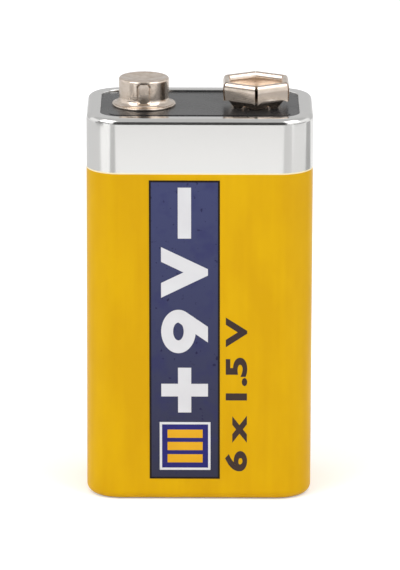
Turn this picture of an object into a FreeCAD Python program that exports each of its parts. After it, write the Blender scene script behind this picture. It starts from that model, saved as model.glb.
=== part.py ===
import FreeCAD, Part
import math
import os

# A rectangular nine volt block battery with two snap terminals on its top, standing on its base.
# All sizes are in millimetres. X runs along the width, Y along the depth with the front at -Y,
# and Z upwards. The origin is the middle of the base.

# Jacket: one folded tinplate sheet, locked at the back and crimped inwards at both ends
case_width = 25.6
case_depth = 16.6
case_height = 44.6
case_corner_radius = 3.9
jacket_sheet = 0.25
lip_bend_radius = 0.65
lip_reach = 1.6
seam_layers = 3
seam_width = 2.6
seam_notch = 3.0
seam_groove_width = 0.3
seam_groove_depth = 0.12

# Terminal board and base board, held under the crimped lips
board_thickness = 1.0
board_clearance = 0.05
board_step_side = 1.0
board_step_front = 1.5
board_step_height = 0.05
board_step_corner = 1.0

# Snap terminals
terminal_pitch = 12.7
rivet_hole_radius = 1.5
terminal_sheet = 0.25
stud_flange_radius = 3.6
stud_flange_thickness = 0.45
stud_flange_edge = 0.18
stud_root = 0.4
stud_neck_radius = 2.69
stud_head_radius = 2.86
stud_height = 3.25
stud_head_height = 1.5
stud_flare_height = 0.8
stud_edge_radius = 0.4
stud_dish_radius = 2.35
stud_dish_depth = 0.15
dimple_width = 1.4
dimple_height = 2.35
dimple_from_top = 0.28
dimple_depth = 0.35
dimple_corner = 0.35
socket_sheet = 0.3
socket_petals = 6
socket_grip_apothem = 2.83
socket_fold_gap = 0.3
socket_height = 3.05
socket_root = 0.25
socket_skirt_length = 2.2
socket_arch_rise = 0.55
socket_slit_width = 0.2

# Rivets through the terminal board
rivet_sheet = 0.25
rivet_clearance = 0.05
rivet_head_radius = 2.2
rivet_foot_radius = 2.1

# Contact strips
strip_width = 4.0
strip_sheet = 0.15
strip_overlap = 2.6
strip_side_clearance = 0.1
strip_sleeve_clearance = 0.05
foot_setback = 4.0
spring_headroom = 5.35
spring_run = 4.0
spring_foot = 3.5

# Insulating cards and the sleeve round the stack
card_thickness = 0.4
card_window = 9.0
sleeve_sheet = 0.15
sleeve_clearance = 0.1
sleeve_seam_clearance = 0.3
sleeve_corner = 2.3
collector_thickness = 0.2

# Flat cells, stacked with each zinc plate down
cell_count = 6
cell_clearance = 0.1
envelope_sheet = 0.15
envelope_reach = 1.5
envelope_clearance = 0.05
film_thickness = 0.15
zinc_thickness = 0.5
separator_thickness = 0.2

# Places that follow from the sizes above
inside_width = case_width - 2 * jacket_sheet
inside_depth = case_depth - 2 * jacket_sheet
inside_corner = case_corner_radius - jacket_sheet
seam_thickness = seam_layers * jacket_sheet
board_top = case_height - jacket_sheet
board_underside = board_top - board_thickness
terminal_seat = board_top + board_step_height
base_board_top = jacket_sheet + board_thickness
base_card_top = base_board_top + card_thickness
stack_bottom = base_card_top + strip_sheet
stack_top = board_underside - spring_headroom - collector_thickness
cell_height = (stack_top - stack_bottom) / cell_count
collector_top = stack_top + collector_thickness
sleeve_width = inside_width - 2 * sleeve_clearance
sleeve_depth = inside_depth - 2 * (seam_thickness + sleeve_seam_clearance)
strip_side = strip_sheet + strip_side_clearance
cell_width = sleeve_width - 2 * (sleeve_sheet + strip_sleeve_clearance + strip_side)
cell_depth = sleeve_depth - 2 * (sleeve_sheet + cell_clearance)
cell_corner_cut = sleeve_corner * (2 - math.sqrt(2))
stud_x = -terminal_pitch / 2
socket_x = terminal_pitch / 2


def point(x, y, z=0.0):
    return FreeCAD.Vector(x, y, z)


def rounded_wire(width, depth, corner, z):
    """Closed outline of a rectangle with round corners, centred on the Z axis."""
    arcs = []
    for quarter in range(4):
        angles = [math.radians(90 * quarter + turn) for turn in (0, 45, 90)]
        centre_x = math.copysign(width / 2 - corner, math.cos(angles[1]))
        centre_y = math.copysign(depth / 2 - corner, math.sin(angles[1]))
        arcs.append([point(centre_x + corner * math.cos(angle),
                           centre_y + corner * math.sin(angle), z) for angle in angles])
    edges = []
    for arc, following in zip(arcs, arcs[1:] + arcs[:1]):
        edges.append(Part.Arc(*arc).toShape())
        edges.append(Part.LineSegment(arc[-1], following[0]).toShape())
    return Part.Wire(edges)


def rounded_prism(width, depth, corner, low, high):
    wire = rounded_wire(width, depth, corner, low)
    return Part.Face(wire).extrude(point(0, 0, high - low))


def cut_corner_prism(width, depth, cut, low, high):
    """Rectangle with its corners cut off at 45 degrees, from one height to another."""
    x = width / 2
    y = depth / 2
    quarter = [(x, y - cut), (x - cut, y)]
    corners = quarter + [(-a, b) for a, b in reversed(quarter)]
    corners += [(-a, -b) for a, b in corners]
    wire = Part.makePolygon([point(a, b, low) for a, b in corners], True)
    return Part.Face(wire).extrude(point(0, 0, high - low))


def edges_at_height(shape, height):
    return [edge for edge in shape.Edges if all(abs(v.Z - height) < 1e-6 for v in edge.Vertexes)
            and abs(edge.CenterOfMass.z - height) < 1e-6]


def turned(profile):
    """Solid of revolution from a closed list of (radius, height) corners."""
    wire = Part.makePolygon([point(radius, 0, height) for radius, height in profile], True)
    return Part.Face(wire).revolve(point(0, 0), point(0, 0, 1), 360)


def folded_strip(corners, width, sheet):
    """Strip of sheet metal that follows a path in the XZ plane, folded sharply at each corner."""
    side = point(0, 1)
    start = corners[0]
    normal = (corners[1] - start).normalize().cross(side)
    section = [start + side * (a * width / 2) + normal * (b * sheet / 2)
               for a, b in ((-1, -1), (1, -1), (1, 1), (-1, 1))]
    path = Part.makePolygon(corners)
    return path.makePipeShell([Part.makePolygon(section, True)], True, False, 1)


def solid_of(shape):
    """The one solid that a feature's shape holds, with needless seams between faces taken out."""
    return shape.removeSplitter().Solids[0]


def make_jacket():
    outer = rounded_prism(case_width, case_depth, case_corner_radius, 0, case_height)
    ends = edges_at_height(outer, 0) + edges_at_height(outer, case_height)
    outer = outer.makeFillet(lip_bend_radius, ends)
    low = jacket_sheet
    high = case_height - jacket_sheet
    inner = rounded_prism(inside_width, inside_depth, inside_corner, low, high)
    ends = edges_at_height(inner, low) + edges_at_height(inner, high)
    inner = inner.makeChamfer(lip_bend_radius - jacket_sheet, ends)
    opening_corner = case_corner_radius - lip_reach
    opening = rounded_prism(case_width - 2 * lip_reach, case_depth - 2 * lip_reach,
                            opening_corner, -jacket_sheet, case_height + jacket_sheet)
    return solid_of(outer.cut(inner).cut(opening).fuse(seam_fold()).cut(seam_groove()))


def seam_fold():
    """Folded layers of the locked seam, inside the back wall and notched before the lips."""
    wall = case_depth / 2 - jacket_sheet
    fold = Part.makeBox(seam_width, seam_thickness + jacket_sheet / 2,
                        case_height - 2 * seam_notch,
                        point(-seam_width / 2, wall - seam_thickness, seam_notch))
    free_edges = [edge for edge in fold.Edges
                  if abs(edge.CenterOfMass.y - (wall - seam_thickness)) < 1e-6
                  and abs(edge.CenterOfMass.x) > seam_width / 4]
    return fold.makeFillet(jacket_sheet, free_edges)


def seam_groove():
    """Narrow step where the sheet turns inwards, down the outside of the back wall."""
    side = -seam_width / 2
    back = case_depth / 2
    corners = [point(side - seam_groove_width / 2, back + seam_groove_depth, lip_bend_radius),
               point(side, back - seam_groove_depth, lip_bend_radius),
               point(side + seam_groove_width / 2, back + seam_groove_depth, lip_bend_radius)]
    return Part.Face(Part.makePolygon(corners, True)).extrude(
        point(0, 0, case_height - 2 * lip_bend_radius))


def make_board_blank(low, high, outer_face):
    """Board that fills the jacket, with its outward edge cut back to clear the crimp bend."""
    blank = rounded_prism(inside_width - 2 * board_clearance, inside_depth - 2 * board_clearance,
                          inside_corner - board_clearance, low, high)
    clearing = lip_bend_radius - jacket_sheet + board_clearance
    return blank.makeChamfer(clearing, edges_at_height(blank, outer_face))


def make_top_plate():
    plate = make_board_blank(board_underside, board_top, board_top)
    half_width = case_width / 2 - lip_reach - board_step_side
    half_depth = case_depth / 2 - lip_reach - board_step_front
    step = rounded_prism(2 * half_width, 2 * half_depth, board_step_corner,
                         board_underside, terminal_seat)
    plate = plate.fuse(step)
    for x in (stud_x, socket_x):
        hole = Part.makeCylinder(rivet_hole_radius, board_thickness + board_step_height,
                                 point(x, 0, board_underside))
        plate = plate.cut(hole)
    return solid_of(plate)


def make_bottom_plate():
    return solid_of(make_board_blank(jacket_sheet, base_board_top, jacket_sheet))


def make_positive_stud():
    shoulder = stud_height - stud_head_height
    inner_radius = stud_neck_radius - terminal_sheet
    floor = stud_height - stud_dish_depth
    flange_step = stud_flange_thickness - terminal_sheet / 2
    rim_step = stud_edge_radius * (1 - math.sqrt(0.5))
    stud = turned([
        (rivet_hole_radius, 0),
        (stud_flange_radius, 0),
        (stud_flange_radius, stud_flange_thickness - stud_flange_edge),
        (stud_flange_radius - stud_flange_edge, stud_flange_thickness),
        (stud_neck_radius + stud_root, stud_flange_thickness),
        (stud_neck_radius, stud_flange_thickness + stud_root),
        (stud_neck_radius, shoulder - stud_flare_height),
        (stud_head_radius, shoulder),
        (stud_head_radius, stud_height - stud_edge_radius),
        (stud_head_radius - rim_step, stud_height - rim_step),
        (stud_head_radius - stud_edge_radius, stud_height),
        (stud_dish_radius, stud_height),
        (stud_dish_radius - stud_dish_depth, floor),
        (0, floor),
        (0, floor - terminal_sheet),
        (inner_radius, floor - terminal_sheet),
        (inner_radius, flange_step),
        (rivet_hole_radius, flange_step)])
    core = Part.makeCylinder(stud_neck_radius - terminal_sheet / 2, floor)
    for angle in (0, 180):
        bulge = dimple_block(terminal_sheet).common(core)
        bulge.rotate(point(0, 0), point(0, 0, 1), angle)
        stud = stud.fuse(bulge)
    for angle in (0, 180):
        recess = dimple_block(0)
        recess.rotate(point(0, 0), point(0, 0, 1), angle)
        stud = stud.cut(recess)
    stud.translate(point(stud_x, 0, terminal_seat))
    return solid_of(stud)


def dimple_block(wall):
    """Block with round corners that presses one dimple, grown by the wall that it leaves."""
    width = dimple_width + 2 * wall
    height = dimple_height + 2 * wall
    corner = dimple_corner + wall
    reach = stud_head_radius - dimple_depth - wall
    block = Part.Face(rounded_wire(width, height, corner, reach)).extrude(
        point(0, 0, dimple_depth + wall + stud_edge_radius))
    block.rotate(point(0, 0), point(1, 0, 0), 90)
    block.translate(point(0, 0, stud_height - dimple_from_top - dimple_height / 2))
    return block


def petal_profile():
    """Section of one petal: base, grip wall, fold over the rim and skirt on the outside."""
    wall_in = socket_grip_apothem
    wall_out = wall_in + socket_sheet
    skirt_in = wall_out + socket_fold_gap
    skirt_out = skirt_in + socket_sheet
    fold_radius = socket_fold_gap / 2
    fold_height = socket_height - socket_sheet - fold_radius
    fold_middle = wall_out + fold_radius
    root = wall_out - socket_root
    skirt_end = socket_height - socket_skirt_length

    def at(radius, height):
        return point(radius, 0, height)

    def line(first, second):
        return Part.LineSegment(at(*first), at(*second)).toShape()

    def arc(first, middle, second):
        return Part.Arc(at(*first), at(*middle), at(*second)).toShape()

    return Part.Wire([
        line((rivet_hole_radius, 0), (root, 0)),
        line((root, 0), (wall_out, socket_root)),
        line((wall_out, socket_root), (wall_out, fold_height)),
        arc((wall_out, fold_height), (fold_middle, fold_height + fold_radius),
            (skirt_in, fold_height)),
        line((skirt_in, fold_height), (skirt_in, skirt_end)),
        line((skirt_in, skirt_end), (skirt_out, skirt_end)),
        line((skirt_out, skirt_end), (skirt_out, fold_height)),
        arc((skirt_out, fold_height), (fold_middle, socket_height), (wall_in, fold_height)),
        line((wall_in, fold_height), (wall_in, socket_sheet)),
        line((wall_in, socket_sheet), (rivet_hole_radius, socket_sheet)),
        line((rivet_hole_radius, socket_sheet), (rivet_hole_radius, 0))])


def make_petal():
    """One petal, cut to its sixth of the crown less half a slit on each side, with an arched skirt."""
    reach = 2 * socket_grip_apothem
    petal = Part.Face(petal_profile()).extrude(point(0, 2 * reach, 0))
    petal.translate(point(0, -reach, 0))
    half_sector = math.pi / socket_petals
    offset = socket_slit_width / 2 / math.sin(half_sector)
    far = 2 * reach
    width = (far - offset) * math.tan(half_sector)
    wedge = Part.Face(Part.makePolygon(
        [point(offset, 0, 0), point(far, -width, 0), point(far, width, 0)], True))
    petal = petal.common(wedge.extrude(point(0, 0, socket_height)))
    skirt_face = socket_grip_apothem + 2 * socket_sheet + socket_fold_gap
    half_skirt = skirt_face * math.tan(half_sector)
    arch_radius = (half_skirt ** 2 + socket_arch_rise ** 2) / (2 * socket_arch_rise)
    skirt_end = socket_height - socket_skirt_length
    arch_start = socket_grip_apothem + socket_sheet + socket_fold_gap / 2
    arch = Part.makeCylinder(arch_radius, skirt_face,
                             point(arch_start, 0, skirt_end + socket_arch_rise - arch_radius),
                             point(1, 0, 0))
    return petal.cut(arch)


def make_negative_socket():
    sector = 2 * math.pi / socket_petals
    base_apothem = socket_grip_apothem - socket_root
    base_radius = base_apothem / math.cos(sector / 2)
    corners = [point(base_radius * math.cos(sector * (index + 0.5)),
                     base_radius * math.sin(sector * (index + 0.5)))
               for index in range(socket_petals)]
    base = Part.Face(Part.makePolygon(corners, True)).extrude(point(0, 0, socket_sheet))
    petal = make_petal()
    petals = []
    for index in range(socket_petals):
        turned_petal = petal.copy()
        turned_petal.rotate(point(0, 0), point(0, 0, 1), math.degrees(sector * index))
        petals.append(turned_petal)
    socket = base.fuse(petals).cut(Part.makeCylinder(rivet_hole_radius, socket_sheet))
    socket.translate(point(socket_x, 0, terminal_seat))
    return solid_of(socket)


def make_rivet(x, seat):
    """Hollow rivet with its head on the terminal's base and its foot flared under the strip."""
    outer = rivet_hole_radius - rivet_clearance
    bore = outer - rivet_sheet
    foot = board_underside - strip_sheet
    head = seat + rivet_sheet
    rivet = turned([
        (bore, foot - rivet_sheet), (rivet_foot_radius, foot - rivet_sheet),
        (rivet_foot_radius, foot), (outer, foot), (outer, seat),
        (rivet_head_radius, seat), (rivet_head_radius, head), (bore, head)])
    rivet.translate(point(x, 0, 0))
    return solid_of(rivet)


def make_positive_eyelet():
    return make_rivet(stud_x, terminal_seat + stud_flange_thickness - terminal_sheet / 2)


def make_negative_eyelet():
    return make_rivet(socket_x, terminal_seat + socket_sheet)


def rivet_hole_at(x):
    """Drill for the end of a strip that lies against the underside of the terminal board."""
    return Part.makeCylinder(rivet_hole_radius, 2 * strip_sheet,
                             point(x, 0, board_underside - 1.5 * strip_sheet))


def make_positive_tab():
    """Leaf spring from the stud's rivet down to the collector on top of the stack."""
    high = board_underside - strip_sheet / 2
    low = collector_top + strip_sheet / 2
    bend_x = stud_x + strip_overlap
    foot_x = bend_x + spring_run
    path = [point(stud_x - strip_overlap, 0, high), point(bend_x, 0, high),
            point(foot_x, 0, low), point(foot_x + spring_foot, 0, low)]
    tab = folded_strip(path, strip_width, strip_sheet)
    return solid_of(tab.cut(rivet_hole_at(stud_x)))


def make_negative_strip():
    """Strip from under the stack, up one side and across to the socket's rivet."""
    high = board_underside - strip_sheet / 2
    low = base_card_top + strip_sheet / 2
    side = cell_width / 2 + strip_side_clearance + strip_sheet / 2
    path = [point(foot_setback - cell_width / 2, 0, low), point(side, 0, low),
            point(side, 0, high), point(socket_x - strip_overlap, 0, high)]
    strip = folded_strip(path, strip_width, strip_sheet)
    return solid_of(strip.cut(rivet_hole_at(socket_x)))


def make_bottom_card():
    return cut_corner_prism(sleeve_width, sleeve_depth, sleeve_corner,
                            base_board_top, base_card_top)


def make_top_card():
    """Insulating card on the collector, with a window for the spring's foot."""
    card = cut_corner_prism(cell_width, cell_depth, cell_corner_cut,
                            collector_top, collector_top + card_thickness)
    foot_middle = stud_x + strip_overlap + spring_run + spring_foot / 2
    window = Part.makeBox(card_window, card_window, card_thickness,
                          point(foot_middle - card_window / 2, -card_window / 2, collector_top))
    return card.cut(window).Solids[0]


def make_top_collector():
    return cut_corner_prism(cell_width, cell_depth, cell_corner_cut, stack_top, collector_top)


def make_stack_sleeve():
    """Shrunk film sleeve round the cells and the long strip, standing on the base card."""
    high = collector_top + card_thickness
    outer = rounded_prism(sleeve_width, sleeve_depth, sleeve_corner, base_card_top, high)
    inner = rounded_prism(sleeve_width - 2 * sleeve_sheet, sleeve_depth - 2 * sleeve_sheet,
                          sleeve_corner - sleeve_sheet, base_card_top, high)
    return outer.cut(inner).Solids[0]


def make_cell(number):
    """The five pieces of one flat cell, by name, from the conductive film up."""
    low = stack_bottom + (number - 1) * cell_height
    high = low + cell_height
    rim = envelope_sheet
    window_width = cell_width - 2 * envelope_reach
    window_depth = cell_depth - 2 * envelope_reach
    fill_width = cell_width - 2 * (envelope_sheet + envelope_clearance)
    fill_depth = cell_depth - 2 * (envelope_sheet + envelope_clearance)
    zinc_low = low + rim
    separator_low = zinc_low + zinc_thickness
    mix_low = separator_low + separator_thickness
    core_width = window_width - 2 * envelope_clearance
    core_depth = window_depth - 2 * envelope_clearance

    envelope = cut_corner_prism(cell_width, cell_depth, cell_corner_cut, low, high)
    cavity = cut_corner_prism(cell_width - 2 * rim, cell_depth - 2 * rim, cell_corner_cut,
                              low + rim, high - rim)
    windows = cut_corner_prism(window_width, window_depth, cell_corner_cut, low, high)
    shoulders = cut_corner_prism(fill_width, fill_depth, cell_corner_cut, mix_low, high - rim)
    crown = cut_corner_prism(core_width, core_depth, cell_corner_cut, high - rim, high)
    return {
        f"cell_{number}_carbon_film": cut_corner_prism(
            core_width, core_depth, cell_corner_cut, zinc_low - film_thickness, zinc_low),
        f"cell_{number}_zinc_plate": cut_corner_prism(
            fill_width, fill_depth, cell_corner_cut, zinc_low, separator_low),
        f"cell_{number}_separator": cut_corner_prism(
            fill_width, fill_depth, cell_corner_cut, separator_low, mix_low),
        f"cell_{number}_mix_cake": solid_of(shoulders.fuse(crown)),
        f"cell_{number}_envelope": envelope.cut(cavity).cut(windows).Solids[0]}


def make_all():
    pieces = {
        "jacket": make_jacket(),
        "top_plate": make_top_plate(),
        "bottom_plate": make_bottom_plate(),
        "positive_stud": make_positive_stud(),
        "positive_eyelet": make_positive_eyelet(),
        "positive_tab": make_positive_tab(),
        "negative_socket": make_negative_socket(),
        "negative_eyelet": make_negative_eyelet(),
        "negative_strip": make_negative_strip(),
        "top_collector": make_top_collector(),
        "top_card": make_top_card(),
        "bottom_card": make_bottom_card(),
        "stack_sleeve": make_stack_sleeve()}
    for number in range(1, cell_count + 1):
        pieces.update(make_cell(number))
    return pieces


os.makedirs("parts", exist_ok=True)
for name, piece in make_all().items():
    piece.exportStep(f"parts/{name}.step")
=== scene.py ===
"""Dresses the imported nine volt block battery.

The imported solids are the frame. This script gives every piece its finish, replaces the ones whose
rounding shows with finer meshes, adds the printed front, and sets up the camera and the light.
X runs along the width, Y towards the back and Z upwards, in metres.
"""
from __future__ import annotations

import logging
import math
from dataclasses import dataclass, field
from enum import Enum
from typing import Any, Iterable, Sequence

import bmesh
import bpy
from mathutils import Matrix, Vector


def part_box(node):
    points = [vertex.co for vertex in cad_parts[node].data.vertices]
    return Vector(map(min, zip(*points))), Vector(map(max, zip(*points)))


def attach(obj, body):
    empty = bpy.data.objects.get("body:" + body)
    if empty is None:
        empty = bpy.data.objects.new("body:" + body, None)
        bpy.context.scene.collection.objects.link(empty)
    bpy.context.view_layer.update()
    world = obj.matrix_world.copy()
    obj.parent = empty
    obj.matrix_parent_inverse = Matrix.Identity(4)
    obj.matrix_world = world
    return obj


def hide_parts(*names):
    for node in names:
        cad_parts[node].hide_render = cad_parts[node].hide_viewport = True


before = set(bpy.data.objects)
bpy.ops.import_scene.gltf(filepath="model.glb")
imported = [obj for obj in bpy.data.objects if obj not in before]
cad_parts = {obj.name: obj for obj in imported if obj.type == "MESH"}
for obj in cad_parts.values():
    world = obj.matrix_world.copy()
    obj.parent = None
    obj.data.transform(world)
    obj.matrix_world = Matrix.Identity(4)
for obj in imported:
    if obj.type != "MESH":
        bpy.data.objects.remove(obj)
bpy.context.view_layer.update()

Settings = dict[str | int, Any]
Links = dict[str | int, bpy.types.NodeSocket]
Triple = tuple[float, float, float]
Sides = tuple[float, float, float, float]

MM = 0.001
# The jacket's front lies back by three ink layers, so that the print ends at the solid's own front.
INK_LAYER = 0.012 * MM
INK_RISE = 3 * INK_LAYER
# Points nearer than MERGE are one, a cut snaps to points within HAIR, and lengths within SLACK match.
MERGE = 0.0005 * MM
HAIR = 0.0001 * MM
SLACK = 0.002 * MM
BODY = "root"
LOG = logging.getLogger("battery")


def linear(hex_color: str) -> tuple[float, float, float, float]:
    """Turns an sRGB hex colour into the linear colour that shaders use.

    Args:
        hex_color: Six hex digits, such as "D8A010".

    Returns:
        Linear red, green, blue and an alpha of 1.
    """
    channels = [int(hex_color[at:at + 2], 16) / 255 for at in (0, 2, 4)]
    return tuple(c / 12.92 if c <= 0.04045 else ((c + 0.055) / 1.055) ** 2.4 for c in channels) + (1.0,)


def set_node(tree: bpy.types.NodeTree, node: bpy.types.Node, settings: Settings | None = None,
             links: Links | None = None) -> bpy.types.Node:
    """Gives a shader node its settings and its incoming links.

    Args:
        tree: The node tree it stands in.
        node: The node.
        settings: Node properties by name, or input values by name or place.
        links: Output sockets by the name or place of the input they feed.

    Returns:
        The same node.
    """
    for key, value in (settings or {}).items():
        if isinstance(key, str) and hasattr(node, key):
            setattr(node, key, value)
        else:
            node.inputs[key].default_value = value
    for key, source in (links or {}).items():
        tree.links.new(source, node.inputs[key])
    return node


def add_node(tree: bpy.types.NodeTree, kind: str, settings: Settings | None = None,
             links: Links | None = None) -> bpy.types.Node:
    """Adds one shader node of a kind, such as "ShaderNodeMix", with its settings and incoming links."""
    return set_node(tree, tree.nodes.new(kind), settings, links)


def new_material(name: str) -> tuple[bpy.types.Material, bpy.types.NodeTree, bpy.types.Node]:
    """Makes an empty material that holds one Principled shader on its output.

    Args:
        name: The material's name.

    Returns:
        The material, its node tree and the Principled node.
    """
    material = bpy.data.materials.new(name)
    material.use_nodes = True
    tree = material.node_tree
    tree.nodes.clear()
    shader = add_node(tree, "ShaderNodeBsdfPrincipled")
    add_node(tree, "ShaderNodeOutputMaterial", links={"Surface": shader.outputs["BSDF"]})
    return material, tree, shader


def grains(tree: bpy.types.NodeTree, size: float, stretch: Sequence[float] = (1, 1, 1), detail: float = 3.0,
           low: float = 0.3, high: float = 0.7) -> bpy.types.NodeSocket:
    """A pattern of soft patches of a real size, fixed to the piece.

    Args:
        tree: The node tree it goes into.
        size: The patch size in metres.
        stretch: How many times longer a patch is along X, Y and Z.
        detail: Octaves of finer patches.
        low: The noise value that becomes 0.
        high: The noise value that becomes 1.

    Returns:
        The pattern, from 0 to 1.
    """
    place = add_node(tree, "ShaderNodeTexCoord")
    mapping = add_node(tree, "ShaderNodeMapping", {"Scale": [1 / (size * along) for along in stretch]},
                       {"Vector": place.outputs["Object"]})
    noise = add_node(tree, "ShaderNodeTexNoise", {"Scale": 1.0, "Detail": detail},
                     {"Vector": mapping.outputs["Vector"]})
    return add_node(tree, "ShaderNodeMapRange", {"From Min": low, "From Max": high},
                    {"Value": noise.outputs["Fac"]}).outputs["Result"]


def height_on_piece(tree: bpy.types.NodeTree) -> bpy.types.NodeSocket:
    """The height of the shaded point in metres."""
    place = add_node(tree, "ShaderNodeTexCoord")
    return add_node(tree, "ShaderNodeSeparateXYZ", links={0: place.outputs["Object"]}).outputs["Z"]


@dataclass(frozen=True)
class PrintedTinplate:
    """Lithographed tinplate: yellow lacquer on bright tin, which stays bare in a band at the top."""

    name: str = "lithographed tinplate"
    tin: str = "E7E6E4"
    yellow: str = "DCAC00"
    yellow_deep: str = "D2A000"
    pale_edge: str = "EFE3BC"
    print_top: float = 38.42 * MM
    edge_line: float = 0.16 * MM
    print_bottom: float = 0.12 * MM
    tin_roughness: float = 0.16
    lacquer_roughness: float = 0.30
    specular: float = 0.10
    mottle: float = 4.5 * MM
    mottle_stretch: Triple = (1.0, 1.0, 2.4)
    streak: float = 0.8 * MM
    streak_stretch: Triple = (1.0, 1.0, 30.0)
    streak_share: float = 0.3
    wave: float = 7.0 * MM
    wave_stretch: Triple = (1.0, 1.0, 2.0)
    wave_depth: float = 0.02 * MM
    relief: float = 0.25

    def build(self) -> bpy.types.Material:
        """Makes the material.

        Returns:
            The jacket's material.
        """
        # The tin is a soft mirror with faint rolling waves, so straight reflections bend a little.
        # The lacquer is opaque and half glossy, with cloudy tone and faint streaks from the rollers.
        material, tree, shader = new_material(self.name)
        height = height_on_piece(tree)
        under_top = add_node(tree, "ShaderNodeMath", {"operation": "LESS_THAN", 1: self.print_top},
                             {0: height})
        over_lip = add_node(tree, "ShaderNodeMath", {"operation": "GREATER_THAN", 1: self.print_bottom},
                            {0: height})
        printed = add_node(tree, "ShaderNodeMath", {"operation": "MULTIPLY"},
                           {0: under_top.outputs[0], 1: over_lip.outputs[0]}).outputs[0]
        full = add_node(tree, "ShaderNodeMath",
                        {"operation": "LESS_THAN", 1: self.print_top - self.edge_line},
                        {0: height}).outputs[0]
        clouds = grains(tree, self.mottle, self.mottle_stretch)
        streaks = grains(tree, self.streak, self.streak_stretch)
        tone = add_node(tree, "ShaderNodeMath",
                        {"operation": "MULTIPLY_ADD", 1: self.streak_share, "use_clamp": True},
                        {0: streaks, 2: clouds}).outputs[0]
        yellow = add_node(tree, "ShaderNodeMix", {"data_type": "RGBA", 6: linear(self.yellow),
                                                  7: linear(self.yellow_deep)}, {0: tone}).outputs[2]
        lacquer = add_node(tree, "ShaderNodeMix", {"data_type": "RGBA", 6: linear(self.pale_edge)},
                           {0: full, 7: yellow}).outputs[2]
        color = add_node(tree, "ShaderNodeMix", {"data_type": "RGBA", 6: linear(self.tin)},
                         {0: printed, 7: lacquer})
        metal = add_node(tree, "ShaderNodeMath", {"operation": "SUBTRACT", 0: 1.0}, {1: printed})
        rough = add_node(tree, "ShaderNodeMapRange",
                         {"To Min": self.tin_roughness, "To Max": self.lacquer_roughness},
                         {"Value": printed})
        relief = add_node(tree, "ShaderNodeBump", {"Strength": self.relief, "Distance": self.wave_depth},
                          {"Height": grains(tree, self.wave, self.wave_stretch, detail=1.0)})
        set_node(tree, shader, {"Specular IOR Level": self.specular},
                 {"Base Color": color.outputs[2], "Metallic": metal.outputs[0],
                  "Roughness": rough.outputs["Result"], "Normal": relief.outputs["Normal"]})
        return material


@dataclass(frozen=True)
class PlainStuff:
    """One stuff all over, with slight tone changes and a fine grain: plastic, card, film, paste or ink."""

    name: str
    color: str
    shade: str
    roughness: float
    specular: float = 0.5
    metallic: float = 0.0
    rough_spread: float = 0.06
    patch: float = 3.0 * MM
    patch_low: float = 0.3
    patch_high: float = 0.7
    grain: float = 0.15 * MM
    grain_stretch: Triple = (1.0, 1.0, 1.0)
    grain_depth: float = 0.006 * MM
    relief: float = 0.3

    def build(self) -> bpy.types.Material:
        """Makes the material.

        Returns:
            The material.
        """
        # The two tones keep it from looking flat, and the grain breaks up its gloss.
        material, tree, shader = new_material(self.name)
        tones = grains(tree, self.patch, low=self.patch_low, high=self.patch_high)
        color = add_node(tree, "ShaderNodeMix", {"data_type": "RGBA", 6: linear(self.color),
                                                 7: linear(self.shade)}, {0: tones})
        rough = add_node(tree, "ShaderNodeMapRange",
                         {"To Min": self.roughness, "To Max": min(1.0, self.roughness + self.rough_spread)},
                         {"Value": tones})
        relief = add_node(tree, "ShaderNodeBump", {"Strength": self.relief, "Distance": self.grain_depth},
                          {"Height": grains(tree, self.grain, self.grain_stretch, detail=2.0)})
        set_node(tree, shader, {"Metallic": self.metallic, "Specular IOR Level": self.specular},
                 {"Base Color": color.outputs[2], "Roughness": rough.outputs["Result"],
                  "Normal": relief.outputs["Normal"]})
        return material


@dataclass(frozen=True)
class PlatedMetal(PlainStuff):
    """Bare or plated sheet metal, which shows what stands round it.

    Its shade is a stain that dulls it in patches, and its grain is the fine marks that rolling or
    pressing leaves, which soften what it mirrors.
    """

    metallic: float = 1.0
    rough_spread: float = 0.07
    patch: float = 0.9 * MM
    patch_low: float = 0.35
    patch_high: float = 0.75
    grain: float = 0.12 * MM
    grain_stretch: Triple = (1.0, 1.0, 6.0)
    grain_depth: float = 0.004 * MM


@dataclass(frozen=True)
class InkWithPaintedShade:
    """A printed ground with painted shade and light, darker at its foot and lighter towards its top, with
    clouds and small dark spots in it.
    """

    name: str
    # foot is the ink with painted shade at the panel's foot, head the ink with painted light at its top.
    foot: str
    head: str
    cloud: str
    spot: str
    low: float
    high: float
    roughness: float = 0.30
    specular: float = 0.25
    patch: float = 2.2 * MM
    patch_low: float = 0.52
    patch_high: float = 0.72
    patch_share: float = 0.4
    scuff_size: float = 0.75 * MM
    spot_low: float = 0.64
    spot_high: float = 0.70
    grain: float = 0.3 * MM
    grain_depth: float = 0.004 * MM
    relief: float = 0.2

    def build(self) -> bpy.types.Material:
        """Makes the material.

        Returns:
            The printed ground's material.
        """
        # The ground is painted shade and light, darker at the foot and lighter towards the top, so the panel
        # isn't flat.
        # The spots are small dark patches where a fine noise runs high.
        material, tree, shader = new_material(self.name)
        rise = add_node(tree, "ShaderNodeMapRange", {"From Min": self.low, "From Max": self.high},
                        {"Value": height_on_piece(tree)}).outputs["Result"]
        ground = add_node(tree, "ShaderNodeMix", {"data_type": "RGBA", 6: linear(self.foot),
                                                  7: linear(self.head)}, {0: rise}).outputs[2]
        patches = grains(tree, self.patch, low=self.patch_low, high=self.patch_high)
        clouds = add_node(tree, "ShaderNodeMath", {"operation": "MULTIPLY", 1: self.patch_share},
                          {0: patches}).outputs[0]
        clouded = add_node(tree, "ShaderNodeMix", {"data_type": "RGBA", 7: linear(self.cloud)},
                           {0: clouds, 6: ground}).outputs[2]
        # Small dark spots, where a fine noise runs high.
        spots = grains(tree, self.scuff_size, low=self.spot_low, high=self.spot_high)
        color = add_node(tree, "ShaderNodeMix", {"data_type": "RGBA", 7: linear(self.spot)},
                         {0: spots, 6: clouded})
        relief = add_node(tree, "ShaderNodeBump", {"Strength": self.relief, "Distance": self.grain_depth},
                          {"Height": grains(tree, self.grain, detail=2.0)})
        set_node(tree, shader, {"Roughness": self.roughness, "Specular IOR Level": self.specular},
                 {"Base Color": color.outputs[2], "Normal": relief.outputs["Normal"]})
        return material


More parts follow.
